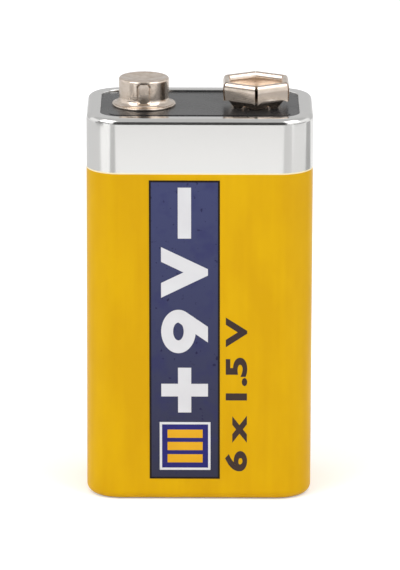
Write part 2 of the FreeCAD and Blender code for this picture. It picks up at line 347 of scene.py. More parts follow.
class Finish(Enum):
    """Every finish on the battery, named for what the real one is."""

    TINPLATE = PrintedTinplate()
    BOARD = PlainStuff("moulded black polystyrene", "1E1E20", "262628", 0.24, 0.5)
    NICKEL = PlatedMetal("nickel plated pressed steel", "E5D7CA", "D4C4B4", 0.20)
    RIVET = PlatedMetal("nickel plated brass rivet", "D6CBB8", "C0B096", 0.18)
    STRIP = PlatedMetal("tinned steel strip", "D6D6D2", "BDBDB8", 0.25)
    ZINC = PlatedMetal("rolled zinc plate", "A9ADB0", "8E9396", 0.38)
    CARD = PlainStuff("grey board insulator", "A48C62", "96805A", 0.85, 0.3, grain_depth=0.02 * MM)
    SLEEVE = PlainStuff("shrunk stack film", "31394D", "2A3144", 0.30)
    ENVELOPE = PlainStuff("cell envelope film", "DEDED5", "D2D2C8", 0.35)
    CARBON = PlainStuff("conductive carbon film", "18181A", "202022", 0.6)
    PAPER = PlainStuff("paste coated paper", "D8CDAE", "CBBF9F", 0.8, 0.3, grain_depth=0.02 * MM)
    MIX = PlainStuff("pressed manganese mix", "1D1A19", "262220", 0.9, 0.3, grain_depth=0.03 * MM)
    # The navy ground runs from painted shade at its foot to painted light at its top.
    NAVY = InkWithPaintedShade("navy litho ink", "2B2B42", "3C416A", "24245C", "17173F", low=2.6 * MM, high=37.6 * MM)
    ROYAL = PlainStuff("royal blue litho ink", "242272", "1F1D66", 0.30, 0.22)
    WHITE = PlainStuff("white litho ink", "DADADC", "D4D3D6", 0.32, 0.3)
    DARK = PlainStuff("brown black litho ink", "1F190F", "261F14", 0.32, 0.12)
    SMALL = PlainStuff("brown litho ink", "3E2E26", "37292A", 0.32, 0.22)
    AMBER = PlainStuff("amber litho ink", "E2A80C", "DBA008", 0.30, 0.3)


class Paints:
    """Makes each finish's material once and hands it out."""

    def __init__(self) -> None:
        """Starts with no material made."""
        self._made: dict[Finish, bpy.types.Material] = {}

    def get(self, finish: Finish) -> bpy.types.Material:
        """The material of a finish.

        Args:
            finish: The finish.

        Returns:
            Its material, made at its first use.
        """
        if finish not in self._made:
            self._made[finish] = finish.value.build()
        return self._made[finish]

    def dress(self, thing: bpy.types.Object, finish: Finish) -> None:
        """Gives an object one finish in place of what it had."""
        thing.data.materials.clear()
        thing.data.materials.append(self.get(finish))


def mesh_from(name: str, bm: bmesh.types.BMesh) -> bpy.types.Mesh:
    """Turns a bmesh into a mesh.

    Args:
        name: The mesh's name.
        bm: The shape. It is freed.

    Returns:
        The mesh.
    """
    mesh = bpy.data.meshes.new(name)
    bm.to_mesh(mesh)
    bm.free()
    return mesh


def link_object(name: str, data: bpy.types.ID) -> bpy.types.Object:
    """Links a new object to the scene.

    Args:
        name: The object's name.
        data: Its mesh, curve, light or camera.

    Returns:
        The object, at the origin.
    """
    thing = bpy.data.objects.new(name, data)
    bpy.context.scene.collection.objects.link(thing)
    return thing


def object_from(name: str, bm: bmesh.types.BMesh, sharp_angle: float = math.radians(35)) -> bpy.types.Object:
    """Turns a finished bmesh into an object at the origin, smooth but for its sharp edges.

    Args:
        name: The piece's name.
        bm: The mesh, in metres at its place. It is freed.
        sharp_angle: Edges that turn by more than this stay sharp.

    Returns:
        The linked object.
    """
    bmesh.ops.remove_doubles(bm, verts=bm.verts, dist=MERGE)
    bmesh.ops.recalc_face_normals(bm, faces=bm.faces)
    mesh = mesh_from(name, bm)
    mesh.shade_smooth()
    mesh.set_sharp_from_angle(angle=sharp_angle)
    thing = link_object(name, mesh)
    weighted = thing.modifiers.new("flat faces stay flat", "WEIGHTED_NORMAL")
    weighted.keep_sharp = True
    weighted.weight = 100
    return thing


def place_piece(thing: bpy.types.Object, slot: str, nodes: Iterable[str] = ()) -> bpy.types.Object:
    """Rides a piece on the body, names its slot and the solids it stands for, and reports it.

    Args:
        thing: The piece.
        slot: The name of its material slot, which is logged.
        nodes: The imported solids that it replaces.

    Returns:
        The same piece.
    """
    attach(thing, BODY)
    names = list(nodes)
    if names:
        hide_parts(*names)
    LOG.info("%s: %d faces, slot %s, stands for %s", thing.name, len(thing.data.polygons), slot,
             ", ".join(names) or "nothing")
    return thing


def clamp(value: float, low: float = 0.0, high: float = 1.0) -> float:
    """Holds a value between two limits."""
    return max(low, min(high, value))


def near(value: float, target: float) -> bool:
    """Whether two lengths are the same within the slack."""
    return abs(value - target) < SLACK


def at_level(parts: Iterable[bmesh.types.BMEdge | bmesh.types.BMFace], level: float,
             axis: int = 2) -> list[bmesh.types.BMEdge | bmesh.types.BMFace]:
    """The edges or faces that lie all over at one level, along Z or another axis."""
    return [part for part in parts if all(near(vert.co[axis], level) for vert in part.verts)]


def of_kind(parts: Iterable[Any], kind: type) -> list[Any]:
    """Those of an operator's results that are of one kind, such as its vertices."""
    return [part for part in parts if isinstance(part, kind)]


def round_edges(bm: bmesh.types.BMesh, edges: list[bmesh.types.BMEdge], radius: float, faces: int) -> None:
    """Rounds edges with an arc of that many faces."""
    bmesh.ops.bevel(bm, geom=edges, offset=radius, offset_type="OFFSET", segments=faces, profile=0.5,
                    affect="EDGES", clamp_overlap=False, material=-1)


def cut_through(bm: bmesh.types.BMesh, point: Sequence[float], normal: Sequence[float], snap: float = HAIR,
                clear: bool = False) -> list[bmesh.types.BMVert | bmesh.types.BMEdge]:
    """Cuts a whole shape along a plane.

    Args:
        bm: The shape.
        point: A point on the plane.
        normal: The plane's direction.
        snap: Vertices this near to the plane count as on it.
        clear: Whether what lies beyond the plane is taken away.

    Returns:
        The vertices and edges of the cut.
    """
    return bmesh.ops.bisect_plane(bm, geom=bm.verts[:] + bm.edges[:] + bm.faces[:], dist=snap,
                                  plane_co=point, plane_no=normal, clear_outer=clear)["geom_cut"]


def spun(corners: Sequence[Triple], steps: int,
         rounding_faces: int = 8) -> bmesh.types.BMesh:
    """Spins a profile round the Z axis and rounds its corners.

    Args:
        corners: For each corner its radius, its height and the round on it, in metres. The profile
            closes on itself unless it starts on the axis.
        steps: How many faces go round.
        rounding_faces: How many faces a rounded corner has.

    Returns:
        The closed solid of revolution.
    """
    bm = bmesh.new()
    verts = [bm.verts.new((radius, 0, height)) for radius, height, _ in corners]
    for first, second in zip(verts, verts[1:]):
        bm.edges.new((first, second))
    if corners[0][0]:
        bm.edges.new((verts[-1], verts[0]))
    bmesh.ops.spin(bm, geom=bm.verts[:] + bm.edges[:], cent=(0, 0, 0), axis=(0, 0, 1),
                   angle=2 * math.pi, steps=steps, use_merge=True)
    bmesh.ops.remove_doubles(bm, verts=bm.verts, dist=MERGE)
    for radius, height, rounding in corners:
        if rounding:
            ring = [edge for edge in at_level(bm.edges, height)
                    if all(near(vert.co.xy.length, radius) for vert in edge.verts)]
            round_edges(bm, ring, rounding, rounding_faces)
    return bm


@dataclass
class Jacket:
    """The crimped sheet metal jacket with its locked seam at the back."""

    paints: Paints
    corner: float = 3.9 * MM
    bend: float = 0.65 * MM
    foot_bend: float = 1.00 * MM
    sheet: float = 0.25 * MM
    lip_reach: float = 1.6 * MM
    lip_edge: float = 0.16 * MM
    lip_turn: float = math.radians(60)
    seam_x: float = -1.3 * MM
    groove_width: float = 0.3 * MM
    groove_depth: float = 0.12 * MM
    seam_end: float = 1.3 * MM
    corner_faces: int = 24
    bend_faces: int = 8
    lip_faces: int = 4

    def build(self) -> None:
        """Builds the jacket and gives it its print."""
        low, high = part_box("jacket")
        low = low + Vector((0, INK_RISE, 0))
        bm = bmesh.new()
        # The outer face comes first: a block with its corners and bends, the seam and two open ends.
        middle = Matrix.Translation((low + high) / 2) @ Matrix.Diagonal((*(high - low), 1))
        bmesh.ops.create_cube(bm, size=1, matrix=middle)
        upright = [edge for edge in bm.edges if not near(edge.verts[0].co.z, edge.verts[1].co.z)]
        round_edges(bm, upright, self.corner, self.corner_faces)
        bends = {low.z: self.foot_bend, high.z: self.bend}
        for level, bend in bends.items():
            round_edges(bm, at_level(bm.edges, level), bend, self.bend_faces)
        self._cut_groove(bm, low, high)
        for level, bend in bends.items():
            self._open_end(bm, level, self.lip_reach - bend)
        # Then it gets its thickness inwards, and the cut edge of each lip is rounded.
        bmesh.ops.recalc_face_normals(bm, faces=bm.faces)
        bmesh.ops.solidify(bm, geom=bm.faces[:], thickness=self.sheet)
        for level in bends:
            lip = [edge for edge in at_level(bm.edges, level)
                   if edge.is_manifold and edge.calc_face_angle() > self.lip_turn]
            round_edges(bm, lip, self.lip_edge, self.lip_faces)
        thing = place_piece(object_from("jacket_shell", bm), "printed_tinplate", ["jacket"])
        self.paints.dress(thing, Finish.TINPLATE)

    def _open_end(self, bm: bmesh.types.BMesh, level: float, reach: float) -> None:
        """Leaves only the crimped lip of a flat end.

        Args:
            bm: The jacket's outer face.
            level: The end's height.
            reach: How far the lip reaches in from its bend.
        """
        flat = at_level(bm.faces, level)
        bmesh.ops.inset_region(bm, faces=flat, thickness=reach, use_even_offset=True, use_boundary=True)
        bmesh.ops.delete(bm, geom=flat, context="FACES")

    def _cut_groove(self, bm: bmesh.types.BMesh, low: Vector, high: Vector) -> None:
        """Presses the narrow seam step into the back wall, ending short of the bends.

        Args:
            bm: The jacket's outer face.
            low: Its lowest corner.
            high: Its highest corner.
        """
        half = self.groove_width / 2
        start, end = low.z + self.seam_end, high.z - self.seam_end
        cuts = [((self.seam_x + shift, 0, 0), (1, 0, 0)) for shift in (-half, 0, half)]
        cuts += [((0, 0, level), (0, 0, 1)) for level in (start, end)]
        for place, normal in cuts:
            wall = at_level(bm.faces, high.y, axis=1)
            parts = wall + list({edge for face in wall for edge in face.edges})
            parts += list({vert for face in wall for vert in face.verts})
            bmesh.ops.bisect_plane(bm, geom=parts, plane_co=place, plane_no=normal, dist=HAIR)
        for vert in bm.verts:
            inside = start - SLACK < vert.co.z < end + SLACK
            if inside and near(vert.co.y, high.y) and near(vert.co.x, self.seam_x):
                vert.co.y -= self.groove_depth


@dataclass
class Stud:
    """The round positive snap stud, pressed from one sheet, and its rivet."""

    paints: Paints
    flange: float = 3.6 * MM
    flange_thickness: float = 0.42 * MM
    flange_foot: float = 0.08 * MM
    bead: float = 0.26 * MM
    bead_round: float = 0.10 * MM
    bead_width: float = 0.22 * MM
    step_width: float = 0.03 * MM
    step_rise: float = 0.06 * MM
    crease: float = 0.02 * MM
    hole: float = 1.5 * MM
    neck: float = 2.80 * MM
    head: float = 2.86 * MM
    sheet: float = 0.25 * MM
    root: float = 0.60 * MM
    rim: float = 0.30 * MM
    dish: float = 2.46 * MM
    dish_edge: float = 0.04 * MM
    dish_depth: float = 0.40 * MM
    dish_rise: float = 0.08 * MM
    dish_sweep: float = 0.9 * MM
    dimple_half_width: float = 0.80 * MM
    dimple_low: float = 0.50 * MM
    dimple_high: float = 2.98 * MM
    dimple_corner: float = 0.50 * MM
    dimple_depth: float = 0.30 * MM
    dimple_slope: float = 0.14 * MM
    inner_margin: float = 0.02 * MM
    faces_round: int = 240
    row_height: float = 0.06 * MM

    def build(self) -> None:
        """Builds the stud at its place."""
        low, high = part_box("positive_stud")
        height = high.z - low.z
        floor = height - self.dish_depth
        inner = self.head - self.dimple_depth - self.sheet
        step = self.flange_thickness - self.sheet / 2
        bead_end = self.flange - self.bead_width
        bm = spun([
            (0, floor - self.sheet, 0),
            (inner, floor - self.sheet, 0),
            (inner, step, 0),
            (self.hole, step, 0),
            (self.hole, 0, 0),
            (self.flange, 0, self.flange_foot),
            (self.flange, self.bead, self.bead_round),
            (bead_end, self.bead, self.crease),
            (bead_end - self.step_width, self.bead + self.step_rise, self.crease),
            (self.neck, self.flange_thickness, self.root),
            (self.head, height, self.rim),
            (self.dish, height, self.dish_edge),
            (self.dish / 2, floor + self.dish_rise, self.dish_sweep),
            (0, floor, 0)], self.faces_round)
        rows = round((height - self.flange_thickness) / self.row_height)
        for row in range(rows):
            cut_through(bm, (0, 0, self.flange_thickness + row * self.row_height), (0, 0, 1))
        for vert in bm.verts:
            self._press(vert, inner)
        centre = (low + high) / 2
        bmesh.ops.translate(bm, verts=bm.verts, vec=(centre.x, centre.y, low.z))
        thing = place_piece(object_from("stud_cap", bm), "nickel_plate", ["positive_stud"])
        self.paints.dress(thing, Finish.NICKEL)
        self.paints.dress(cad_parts["positive_eyelet"], Finish.RIVET)

    def _press(self, vert: bmesh.types.BMVert, inner: float) -> None:
        """Moves a vertex of the outer wall in to the dimple's floor where a dimple is pressed.

        Args:
            vert: The vertex.
            inner: The radius of the inner wall, which stays round.
        """
        radius = math.hypot(vert.co.x, vert.co.y)
        if radius < inner + self.inner_margin:
            return
        across = radius * math.asin(clamp(vert.co.x / radius, -1.0))
        middle = (self.dimple_low + self.dimple_high) / 2
        half_height = (self.dimple_high - self.dimple_low) / 2
        dx = max(0.0, abs(across) - (self.dimple_half_width - self.dimple_corner))
        dz = max(0.0, abs(vert.co.z - middle) - (half_height - self.dimple_corner))
        share = clamp((self.dimple_corner - math.hypot(dx, dz)) / self.dimple_slope)
        depth = max(0.0, radius - self.head + self.dimple_depth) * share * share * (3 - 2 * share)
        vert.co.x *= 1 - depth / radius
        vert.co.y *= 1 - depth / radius


@dataclass
class Socket:
    """The hexagonal negative snap socket: six petals folded over the rim, and its rivet.

    A fold is a half circle that is drawn down by the two drops, on the skirt's side and on the
    mouth's. Slits and twists are given for each petal, counter-clockwise from +X.
    """

    paints: Paints
    petals: int = 6
    grip: float = 2.83 * MM
    sheet: float = 0.30 * MM
    gap: float = 0.30 * MM
    slits: tuple[float, ...] = (0.20 * MM, 0.14 * MM, 0.20 * MM, 0.26 * MM, 0.32 * MM, 0.26 * MM)
    twists: tuple[float, ...] = (0.0, 0.04 * MM, 0.0, 0.05 * MM, 0.16 * MM, 0.0)
    tuck: float = 0.03 * MM
    skirt_length: float = 2.25 * MM
    arch_rise: float = 0.62 * MM
    fold_drop: float = 2.2
    mouth_drop: float = 2.0
    knee: float = 0.95 * MM
    lean: float = 0.60 * MM
    hole: float = 1.5 * MM
    fold_faces: int = 14
    height_cuts: int = 8
    width_cuts: int = 22
    sharp_angle: float = math.radians(50)
    rivet_bore: float = 1.2 * MM
    rivet_mouth: float = 0.14 * MM
    rivet_head: float = 2.2 * MM
    rivet_crown: float = 0.16 * MM
    rivet_under: float = 0.06 * MM
    rivet_rise: float = 0.25 * MM
    rivet_foot: float = 2.1 * MM
    rivet_foot_round: float = 0.08 * MM
    rivet_clearance: float = 0.05 * MM
    rivet_faces: int = 96

    def build(self) -> None:
        """Builds the crown and its rivet at their place."""
        low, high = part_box("negative_socket")
        height = high.z - low.z
        centre = (low + high) / 2
        bm = bmesh.new()
        for number in range(self.petals):
            petal = self._petal(height, self.slits[number], self.slits[number - 1], self.twists[number])
            bmesh.ops.rotate(petal, verts=petal.verts, cent=(0, 0, 0),
                             matrix=Matrix.Rotation(2 * math.pi * number / self.petals, 3, "Z"))
            self._join(bm, petal)
        self._join(bm, self._base())
        bmesh.ops.translate(bm, verts=bm.verts, vec=(centre.x, centre.y, low.z))
        thing = place_piece(object_from("socket_crown", bm, self.sharp_angle), "nickel_plate",
                            ["negative_socket"])
        self.paints.dress(thing, Finish.NICKEL)
        self._rivet(centre)

    def _join(self, whole: bmesh.types.BMesh, part: bmesh.types.BMesh) -> None:
        """Adds one bmesh to another.

        Args:
            whole: The bmesh that grows.
            part: The bmesh that goes into it. It is freed.
        """
        mesh = mesh_from("part", part)
        whole.from_mesh(mesh)
        bpy.data.meshes.remove(mesh)

    def _petal(self, height: float, slit_after: float, slit_before: float,
               twist: float) -> bmesh.types.BMesh:
        """One petal: grip wall, fold over the rim and arched skirt, as a sheet with its thickness.

        Args:
            height: The crown's height.
            slit_after: The slit between it and the next petal, counter-clockwise.
            slit_before: The slit between it and the petal before.
            twist: How much further the skirt's clockwise end is tucked in.

        Returns:
            The petal, with its grip wall towards +X.
        """
        half_sheet = self.sheet / 2
        wall = self.grip + half_sheet
        fold = (self.gap + self.sheet) / 2
        top = height - half_sheet - fold
        skirt = wall + 2 * fold
        skirt_end = height - self.skirt_length
        reach = skirt * math.tan(math.pi / self.petals) + self.sheet
        bm = bmesh.new()
        # The section of the sheet's middle: the fold, with the grip wall and the skirt hung from it.
        rim = bm.verts.new((wall, -reach, top))
        turned = bmesh.ops.spin(bm, geom=[rim], cent=(wall + fold, -reach, top), axis=(0, 1, 0),
                                angle=math.pi, steps=self.fold_faces)
        last = of_kind(turned["geom_last"], bmesh.types.BMVert)[0]
        for vert in bm.verts:
            drop = self.fold_drop if vert.co.x > wall + fold else self.mouth_drop
            vert.co.z = top + fold - (top + fold - vert.co.z) * drop
        knee = bm.verts.new((wall, -reach, self.knee))
        foot = bm.verts.new((wall - self.lean, -reach, half_sheet))
        end = bm.verts.new((skirt, -reach, skirt_end))
        for pair in ([foot, knee], [knee, rim], [last, end]):
            bmesh.ops.contextual_create(bm, geom=pair)
        # The section is drawn out sideways, wider than the petal, and divided so that it can bend.
        extruded = bmesh.ops.extrude_edge_only(bm, edges=bm.edges[:])
        bmesh.ops.translate(bm, verts=of_kind(extruded["geom"], bmesh.types.BMVert), vec=(0, 2 * reach, 0))
        tall = [edge for edge in bm.edges if edge.calc_length() > self.sheet
                and near(edge.verts[0].co.y, edge.verts[1].co.y)]
        bmesh.ops.subdivide_edges(bm, edges=tall, cuts=self.height_cuts, use_grid_fill=True)
        across = [edge for edge in bm.edges if not near(edge.verts[0].co.y, edge.verts[1].co.y)]
        bmesh.ops.subdivide_edges(bm, edges=across, cuts=self.width_cuts, use_grid_fill=True)
        self._arch(bm, skirt, skirt_end, top + fold - fold * self.fold_drop, twist)
        self._thicken(bm)
        self._trim(bm, skirt, slit_after, slit_before)
        bmesh.ops.recalc_face_normals(bm, faces=bm.faces)
        return bm

    def _trim(self, bm: bmesh.types.BMesh, skirt: float, slit_after: float, slit_before: float) -> None:
        """Cuts the sheet to one petal, with half of the slit on each side left open.

        Args:
            bm: The sheet with its thickness.
            skirt: How far out the skirt stands.
            slit_after: The slit on its counter-clockwise side.
            slit_before: The slit on its clockwise side.
        """
        sector = math.pi / self.petals
        corner = self.grip / math.cos(sector)
        # A slit is closed at the grip wall's corner and widens outwards, up to its width at the skirt.
        for side, slit in ((1, slit_after), (-1, slit_before)):
            opening = math.atan2(slit / 2, skirt / math.cos(sector) - corner)
            point = Vector((corner * math.cos(sector), side * corner * math.sin(sector), 0))
            for angle in (side * (sector - opening), side * sector):
                cut_through(bm, point, (-side * math.sin(angle), side * math.cos(angle), 0), MERGE, True)
                bmesh.ops.holes_fill(bm, edges=[edge for edge in bm.edges if edge.is_boundary], sides=0)

    def _arch(self, bm: bmesh.types.BMesh, skirt: float, skirt_end: float, skirt_top: float,
              twist: float) -> None:
        """Raises the skirt's lower edge into an arch and tucks it in, with the rows above it eased.

        Args:
            bm: The petal as a middle sheet.
            skirt: How far out the skirt stands.
            skirt_end: The height of its lower edge.
            skirt_top: The height where it leaves the fold.
            twist: How much further its clockwise end is tucked in.
        """
        half = skirt * math.tan(math.pi / self.petals)
        for vert in bm.verts:
            if near(vert.co.x, skirt) and vert.co.z < skirt_top:
                rise = self.arch_rise * max(0.0, 1 - (vert.co.y / half) ** 2)
                side = clamp((half - vert.co.y) / (2 * half))
                vert.co.z += rise * ((skirt_top - vert.co.z) / (skirt_top - skirt_end)) ** 2
                ease = (skirt_top - vert.co.z) / (skirt_top - skirt_end)
                vert.co.x -= (self.tuck + twist * side) * ease ** 1.5

    def _thicken(self, bm: bmesh.types.BMesh) -> None:
        """Gives the middle sheet its thickness, half to each side.

        Args:
            bm: The petal as a middle sheet.
        """
        bmesh.ops.recalc_face_normals(bm, faces=bm.faces)
        bm.normal_update()
        for vert in bm.verts:
            vert.co += vert.normal * (self.sheet / 2)
        bmesh.ops.solidify(bm, geom=bm.faces[:], thickness=self.sheet)
        bmesh.ops.recalc_face_normals(bm, faces=bm.faces)

    def _base(self) -> bmesh.types.BMesh:
        """The hexagonal floor of the cup.

        Returns:
            A plate as thick as the sheet, with its underside at height 0.
        """
        bm = bmesh.new()
        corner = (self.grip + self.sheet / 2 - self.lean) / math.cos(math.pi / self.petals)
        turned = Matrix.Rotation(math.pi / self.petals, 4, "Z")
        bmesh.ops.create_circle(bm, cap_ends=True, cap_tris=False, segments=self.petals, radius=corner,
                                matrix=turned)
        bmesh.ops.solidify(bm, geom=bm.faces[:], thickness=-self.sheet)
        lowest = min(vert.co.z for vert in bm.verts)
        bmesh.ops.translate(bm, verts=bm.verts, vec=(0, 0, -lowest))
        return bm

    def _rivet(self, centre: Vector) -> None:
        """Builds the hollow rivet whose rounded head lies on the cup's floor.

        Args:
            centre: The crown's middle.
        """
        low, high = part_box("negative_eyelet")
        rise = high.z - low.z
        seat = rise - self.rivet_rise
        barrel = self.hole - self.rivet_clearance
        bm = spun([
            (self.rivet_bore, 0, 0),
            (self.rivet_foot, 0, self.rivet_foot_round),
            (self.rivet_foot, self.rivet_rise, self.rivet_foot_round),
            (barrel, self.rivet_rise, 0),
            (barrel, seat, 0),
            (self.rivet_head, seat, self.rivet_under),
            (self.rivet_head, rise, self.rivet_crown),
            (self.rivet_bore, rise, self.rivet_mouth)], self.rivet_faces)
        bmesh.ops.translate(bm, verts=bm.verts, vec=(centre.x, centre.y, low.z))
        thing = place_piece(object_from("socket_rivet", bm), "rivet_metal", ["negative_eyelet"])
        self.paints.dress(thing, Finish.RIVET)


@dataclass
class FrontPrint:
    """The printed panel on the front: pole marks, the number, a level symbol and the cell values.

    Places are millimetres on the front face, X to the right and Z up, and sides are given as left,
    low, right and high. Each ink is a thin plate that is let into the sheet and stands proud by its
    layers, with its edge a share lower.
    """

    paints: Paints
    panel: Sides = (-5.72, 2.54, 2.27, 37.58)
    lean: float = 0.0036
    border: float = 0.22
    row_left: float = -4.37
    row_right: float = 0.92
    row_low: float = 10.1
    row_high: float = 36.75
    row_gap: float = 1.0
    row_signs: int = 4
    stroke: float = 1.50
    volt_weight: float = 0.06
    nine_width: float = 5.10
    bowl: float = 1.95
    bowl_squash: float = 0.9
    bowl_faces: int = 72
    tail_lean: float = 35.0
    symbol: Sides = (-4.57, 3.59, 1.21, 9.27)
    symbol_line: float = 0.27
    bar_inset: float = 0.62
    bar_count: int = 3
    bar_pitch: float = 1.5
    small_left: float = 2.87
    small_right: float = 5.38
    small_low: float = 3.42
    small_high: float = 21.63
    small_weight: float = 0.036
    inlay: float = 0.06
    edge_share: float = 0.7
    sharp_angle: float = math.radians(20)

    def build(self) -> None:
        """Builds every printed piece."""
        self._plate("print_panel", [self.panel], 1, Finish.NAVY)
        self._plate("print_border", self._frame(self.panel, self.border), 2, Finish.DARK)
        self._row()
        self._level_symbol()
        self._small_line()

    def _frame(self, sides: Sides, line: float) -> list[Sides]:
        """The four bars of a rectangular frame.

        Args:
            sides: The frame's outer sides.
            line: The width of its bars.

        Returns:
            The sides of each bar.
        """
        left, low, right, high = sides
        return [(left, low, left + line, high), (right - line, low, right, high),
                (left + line, low, right - line, low + line), (left + line, high - line, right - line, high)]

    def _print(self, name: str, bm: bmesh.types.BMesh, layers: int, finish: Finish) -> None:
        """Gives a shape its thickness on the front face and its ink.

        Args:
            name: The piece's name.
            bm: The closed shape, with Y -1 at its front, 0 at its edge and 1 at its back. It is freed.
            layers: How many ink layers it stands proud.
            finish: Its ink.
        """
        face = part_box("jacket")[0].y + INK_RISE
        proud = INK_LAYER * layers
        depths = {-1: -proud, 0: -self.edge_share * proud, 1: self.inlay * MM}
        for vert in bm.verts:
            vert.co.x += self.lean * (self.panel[3] * MM - vert.co.z)
            vert.co.y = face + depths[round(vert.co.y)]
        thing = place_piece(object_from(name, bm, self.sharp_angle), "printed_tinplate")
        self.paints.dress(thing, finish)

    def _plate(self, name: str, boxes: Sequence[Sides], layers: int, finish: Finish) -> None:
        """Prints rectangles, each given by its sides."""
        self._print(name, self._bars(boxes), layers, finish)

    def _bars(self, boxes: Sequence[Sides]) -> bmesh.types.BMesh:
        """Makes flat blocks.

        Args:
            boxes: The sides of each block.

        Returns:
            One mesh of them all.
        """
        bm = bmesh.new()
        for left, low, right, high in boxes:
            middle = Vector(((left + right) / 2 * MM, 0, (low + high) / 2 * MM))
            size = Matrix.Diagonal(((right - left) * MM, 2, (high - low) * MM, 1))
            bmesh.ops.create_cube(bm, size=1, matrix=Matrix.Translation(middle) @ size)
        return bm

    def _letters(self, body: str, width: float, height: float, weight: float) -> bmesh.types.BMesh:
        """Sets generic characters in the plain built-in face, stretched to a width and height.

        Args:
            body: The characters.
            width: Their full width in millimetres.
            height: Their full height in millimetres.
            weight: How far each outline is moved outwards, as a share of the letter size.

        Returns:
            The closed letters over the XZ plane, with their low left corner at the origin.
        """
        curve = bpy.data.curves.new("letters", "FONT")
        curve.body = body
        curve.bevel_depth = weight
        curve.bevel_resolution = 0
        curve.resolution_u = 8
        setter = link_object("letters", curve)
        mesh = bpy.data.meshes.new_from_object(setter.evaluated_get(bpy.context.evaluated_depsgraph_get()))
        bpy.data.objects.remove(setter)
        bm = bmesh.new()
        bm.from_mesh(mesh)
        bpy.data.meshes.remove(mesh)
        xs = [vert.co.x for vert in bm.verts]
        ys = [vert.co.y for vert in bm.verts]
        bmesh.ops.translate(bm, verts=bm.verts, vec=(-min(xs), -min(ys), 0))
        wide, tall = width * MM / (max(xs) - min(xs)), height * MM / (max(ys) - min(ys))
        upright = Matrix(((wide, 0, 0), (0, 0, -1 / weight), (0, tall, 0)))
        bmesh.ops.transform(bm, matrix=upright.to_4x4(), verts=bm.verts)
        return bm

    def _stand(self, bm: bmesh.types.BMesh, foot: float, start: float) -> None:
        """Turns flat characters to read from below.

        Args:
            bm: The characters in the XZ plane, with their low left corner at the origin.
            foot: X of their feet in millimetres.
            start: Z where they start, in millimetres.
        """
        bmesh.ops.rotate(bm, verts=bm.verts, cent=(0, 0, 0), matrix=Matrix.Rotation(-math.pi / 2, 3, "Y"))
        bmesh.ops.translate(bm, verts=bm.verts, vec=(foot * MM, 0, start * MM))

    def _row(self) -> None:
        """The large row, read from below: plus, nine, V and minus."""
        height = self.row_right - self.row_left
        width = (self.row_high - self.row_low - (self.row_signs - 1) * self.row_gap) / self.row_signs
        middle, level, half = width / 2, height / 2, self.stroke / 2
        arm = min(width, height) / 2
        plus = [(middle - half, level - arm, middle + half, level + arm),
                (middle - arm, level - half, middle - half, level + half),
                (middle + half, level - half, middle + arm, level + half)]
        minus = [(0, level - half, width, level + half)]
        nine_shift = (width - self.nine_width) / 2
        # Each sign has its name, its shape, its ink layers, its place in the row and its shift there.
        signs = [("plus", self._bars(plus), 2, 0, 0),
                 ("nine_bowl", self._bowl(height), 2, 1, nine_shift),
                 ("nine_tail", self._tail(height), 3, 1, nine_shift),
                 ("volt", self._letters("V", width, height, self.volt_weight), 2, 2, 0),
                 ("minus", self._bars(minus), 2, 3, 0)]
        for name, bm, layers, place, shift in signs:
            self._stand(bm, self.row_right, self.row_low + place * (width + self.row_gap) + shift)
            self._print(f"print_{name}", bm, layers, Finish.WHITE)

    def _bowl(self, height: float) -> bmesh.types.BMesh:
        """The round upper part of the nine.

        Args:
            height: The nine's height in millimetres.

        Returns:
            The closed ring, upright in the XZ plane.
        """
        bm = bmesh.new()
        half = self.nine_width / 2
        place = Matrix.Translation((half * MM, -1, (height - self.bowl) * MM))
        upright = Matrix.Rotation(math.pi / 2, 4, "X")
        for inset in (0, self.stroke):
            size = Matrix.Diagonal(((half - inset) * MM, 1, (self.bowl - inset * self.bowl_squash) * MM, 1))
            bmesh.ops.create_circle(bm, segments=self.bowl_faces, radius=1, matrix=place @ size @ upright)
        bmesh.ops.bridge_loops(bm, edges=bm.edges[:])
        back = bmesh.ops.extrude_face_region(bm, geom=bm.faces[:])["geom"]
        bmesh.ops.translate(bm, verts=of_kind(back, bmesh.types.BMVert), vec=(0, 2, 0))
        return bm

    def _tail(self, height: float) -> bmesh.types.BMesh:
        """The straight tail of the nine, which runs from the side of its bowl down to its foot line.

        Args:
            height: The nine's height in millimetres.

        Returns:
            The closed bar, upright in the XZ plane.
        """
        lean, half = math.radians(self.tail_lean), self.nine_width / 2
        reach = math.hypot(half * math.cos(lean), self.bowl * math.sin(lean))
        slide = (self.bowl ** 2 - half ** 2) * math.sin(lean) * math.cos(lean) / reach
        # The bar starts out longer than the nine is high, and is then cut along the foot line.
        bm = self._bars([(reach - self.stroke, -2 * height, reach, -slide)])
        middle = Matrix.Translation((half * MM, 0, (height - self.bowl) * MM))
        bmesh.ops.transform(bm, matrix=middle @ Matrix.Rotation(lean, 4, "Y"), verts=bm.verts)
        cut = cut_through(bm, (0, 0, 0), (0, 0, -1), clear=True)
        bmesh.ops.edgeloop_fill(bm, edges=of_kind(cut, bmesh.types.BMEdge))
        return bm

    def _level_symbol(self) -> None:
        """A level symbol: a white frame, a royal blue field and three amber bars."""
        left, low, right, high = self.symbol
        line, inset = self.symbol_line, self.symbol_line + self.bar_inset
        self._plate("symbol_frame", self._frame(self.symbol, line), 2, Finish.WHITE)
        self._plate("symbol_field", [(left + line, low + line, right - line, high - line)], 2, Finish.ROYAL)
        bar = (high - low - 2 * inset) / ((self.bar_count - 1) * self.bar_pitch + 1)
        steps = [low + inset + step * self.bar_pitch * bar for step in range(self.bar_count)]
        self._plate("symbol_bars", [(left + inset, step, right - inset, step + bar) for step in steps], 3,
                    Finish.AMBER)

    def _small_line(self) -> None:
        """The small line beside the panel: six cells of one and a half volts, read from below."""
        bm = self._letters("6 x 1.5 V", self.small_high - self.small_low, self.small_right - self.small_left,
                           self.small_weight)
        self._stand(bm, self.small_right, self.small_low)
        self._print("print_small_line", bm, 1, Finish.SMALL)


